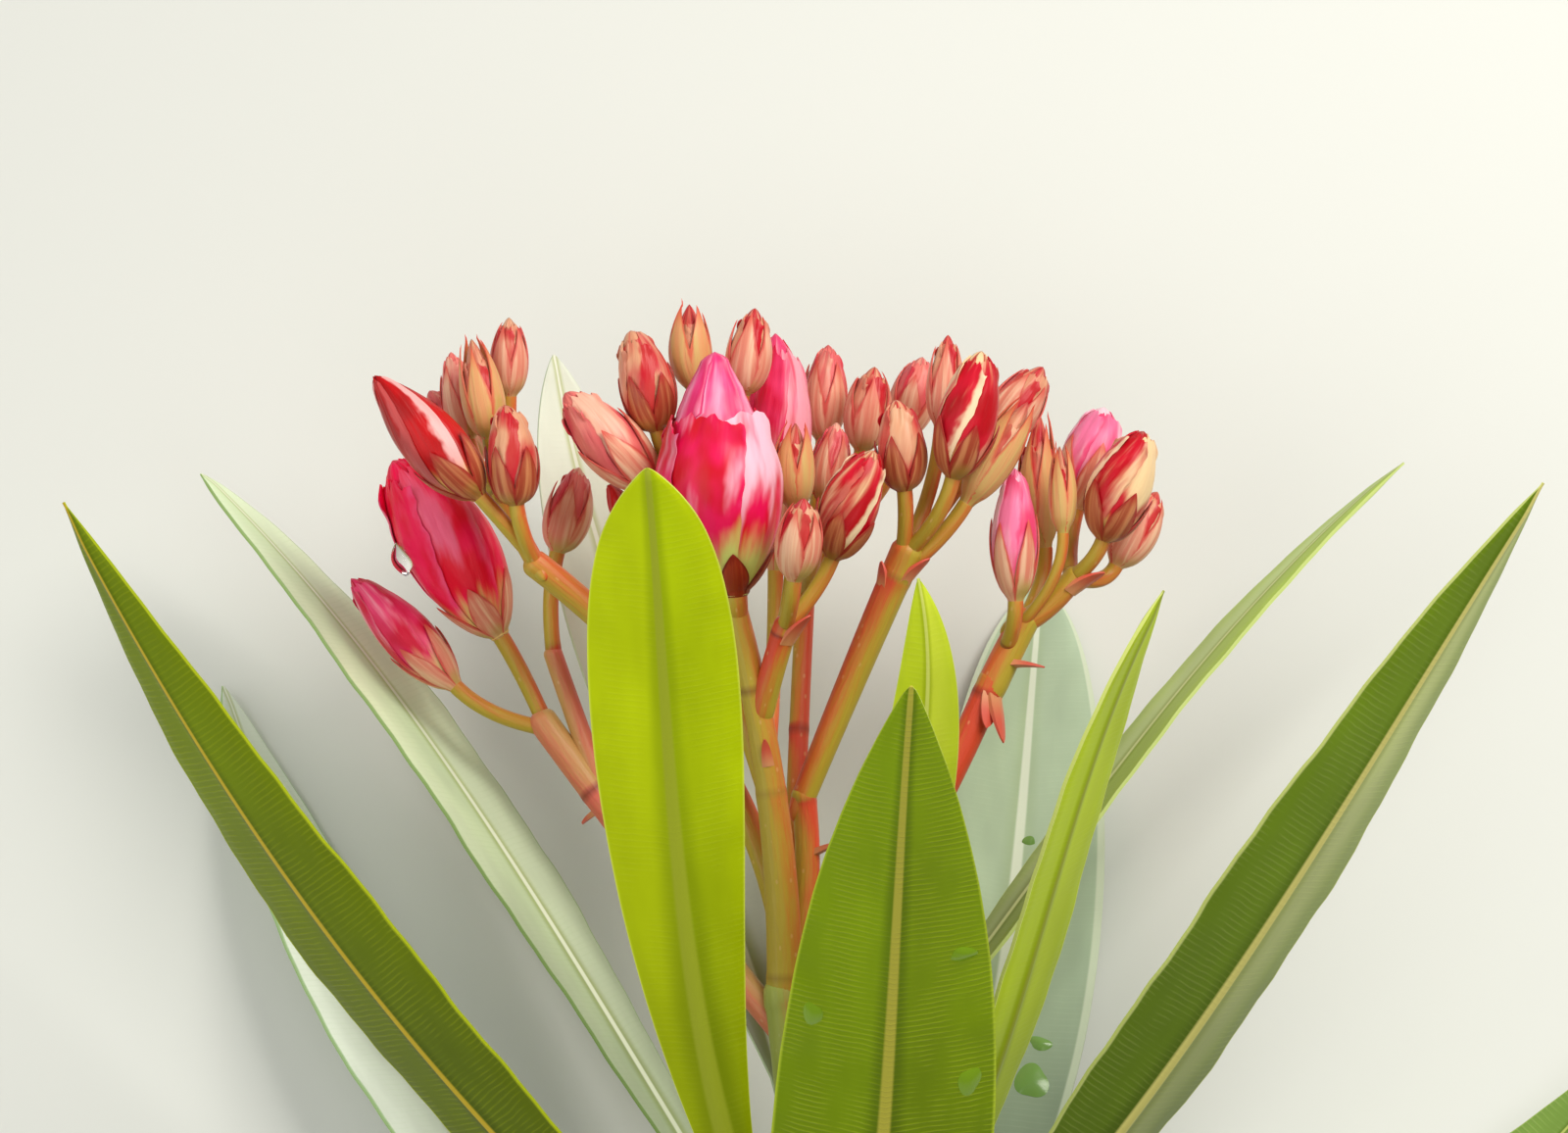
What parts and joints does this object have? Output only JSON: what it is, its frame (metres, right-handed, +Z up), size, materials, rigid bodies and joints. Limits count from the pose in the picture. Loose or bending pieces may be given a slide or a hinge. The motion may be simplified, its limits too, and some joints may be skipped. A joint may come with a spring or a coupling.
{
  "type": "cut oleander flowering shoot",
  "caption": "Cut flowering shoot of oleander lying on its hind leaves, with narrow leathery leaves in whorls and a loose forked head of closed pink buds.",
  "frame": {"origin": "centre of the bounding box's underside, on the ground that the shoot lies on", "axes": "+Z up from the ground, +Y the way that the shoot's tip points, +X to the right for someone who looks down on it with its tip away from them"},
  "size_m": [0.1788, 0.1526, 0.1008],
  "materials": {
    "stem": "smooth green young bark, satin",
    "stalk": "smooth fleshy flower stalk, olive on one side and coral red on the other, satin",
    "leaf_green": "leathery green leaf with a tan midrib and fine parallel side veins, soft sheen",
    "leaf_young": "young yellow-green leaf with the light through it, olive midrib",
    "leaf_pale": "leaf with a pale grey-green sheen and a light midrib and margin",
    "bud_pink": "closed petals, crimson to pink with cream streaks at the foot, satin",
    "bud_tan": "small closed bud in brown-red, tan and cream sepals, satin"
  },
  "bodies": {
    "root": {"stem": "stem", "peduncle_centre": "stalk", "peduncle_right_foot": "stalk", "peduncle_upper_left": "stalk", "peduncle_lower_left": "stalk", "peduncle_far_right_foot": "stalk", "peduncle_back": "stalk", "peduncle_right": "stalk", "peduncle_far_right": "stalk", "branch_far_right": "stalk", "branch_centre": "stalk", "branch_centre_left": "stalk", "branch_left_top": "stalk", "branch_left_back": "stalk", "leaf_front_right": "leaf_green", "leaf_left_low": "leaf_pale", "leaf_low_right": "leaf_pale", "leaf_far_left": "leaf_green", "leaf_far_right": "leaf_green", "leaf_back_wide": "leaf_pale", "leaf_front_left": "leaf_young", "leaf_left_pale": "leaf_pale", "leaf_right_narrow": "leaf_young", "leaf_front_small": "leaf_young", "leaf_back_right": "leaf_green", "leaf_back_left": "leaf_pale", "bud_left_1": "bud_pink", "bud_left_2": "bud_tan", "bud_left_3": "bud_tan", "bud_left_4": "bud_tan", "bud_left_5": "bud_tan", "bud_left_6": "bud_tan", "bud_left_7": "bud_pink", "bud_left_8": "bud_pink", "bud_left_9": "bud_tan", "bud_centre_1": "bud_tan", "bud_centre_2": "bud_tan", "bud_centre_3": "bud_tan", "bud_centre_4": "bud_tan", "bud_centre_5": "bud_pink", "bud_centre_6": "bud_pink", "bud_centre_7": "bud_tan", "bud_centre_8": "bud_tan", "bud_centre_9": "bud_tan", "bud_centre_10": "bud_tan", "bud_centre_11": "bud_tan", "bud_centre_12": "bud_tan", "bud_centre_13": "bud_tan", "bud_centre_14": "bud_tan", "bud_right_1": "bud_tan", "bud_right_2": "bud_pink", "bud_right_3": "bud_tan", "bud_right_4": "bud_tan", "bud_right_5": "bud_tan", "bud_far_right_1": "bud_pink", "bud_far_right_2": "bud_pink", "bud_far_right_3": "bud_pink", "bud_far_right_4": "bud_tan", "bud_far_right_5": "bud_tan", "bud_far_right_6": "bud_tan"}
  },
  "joints": []
}
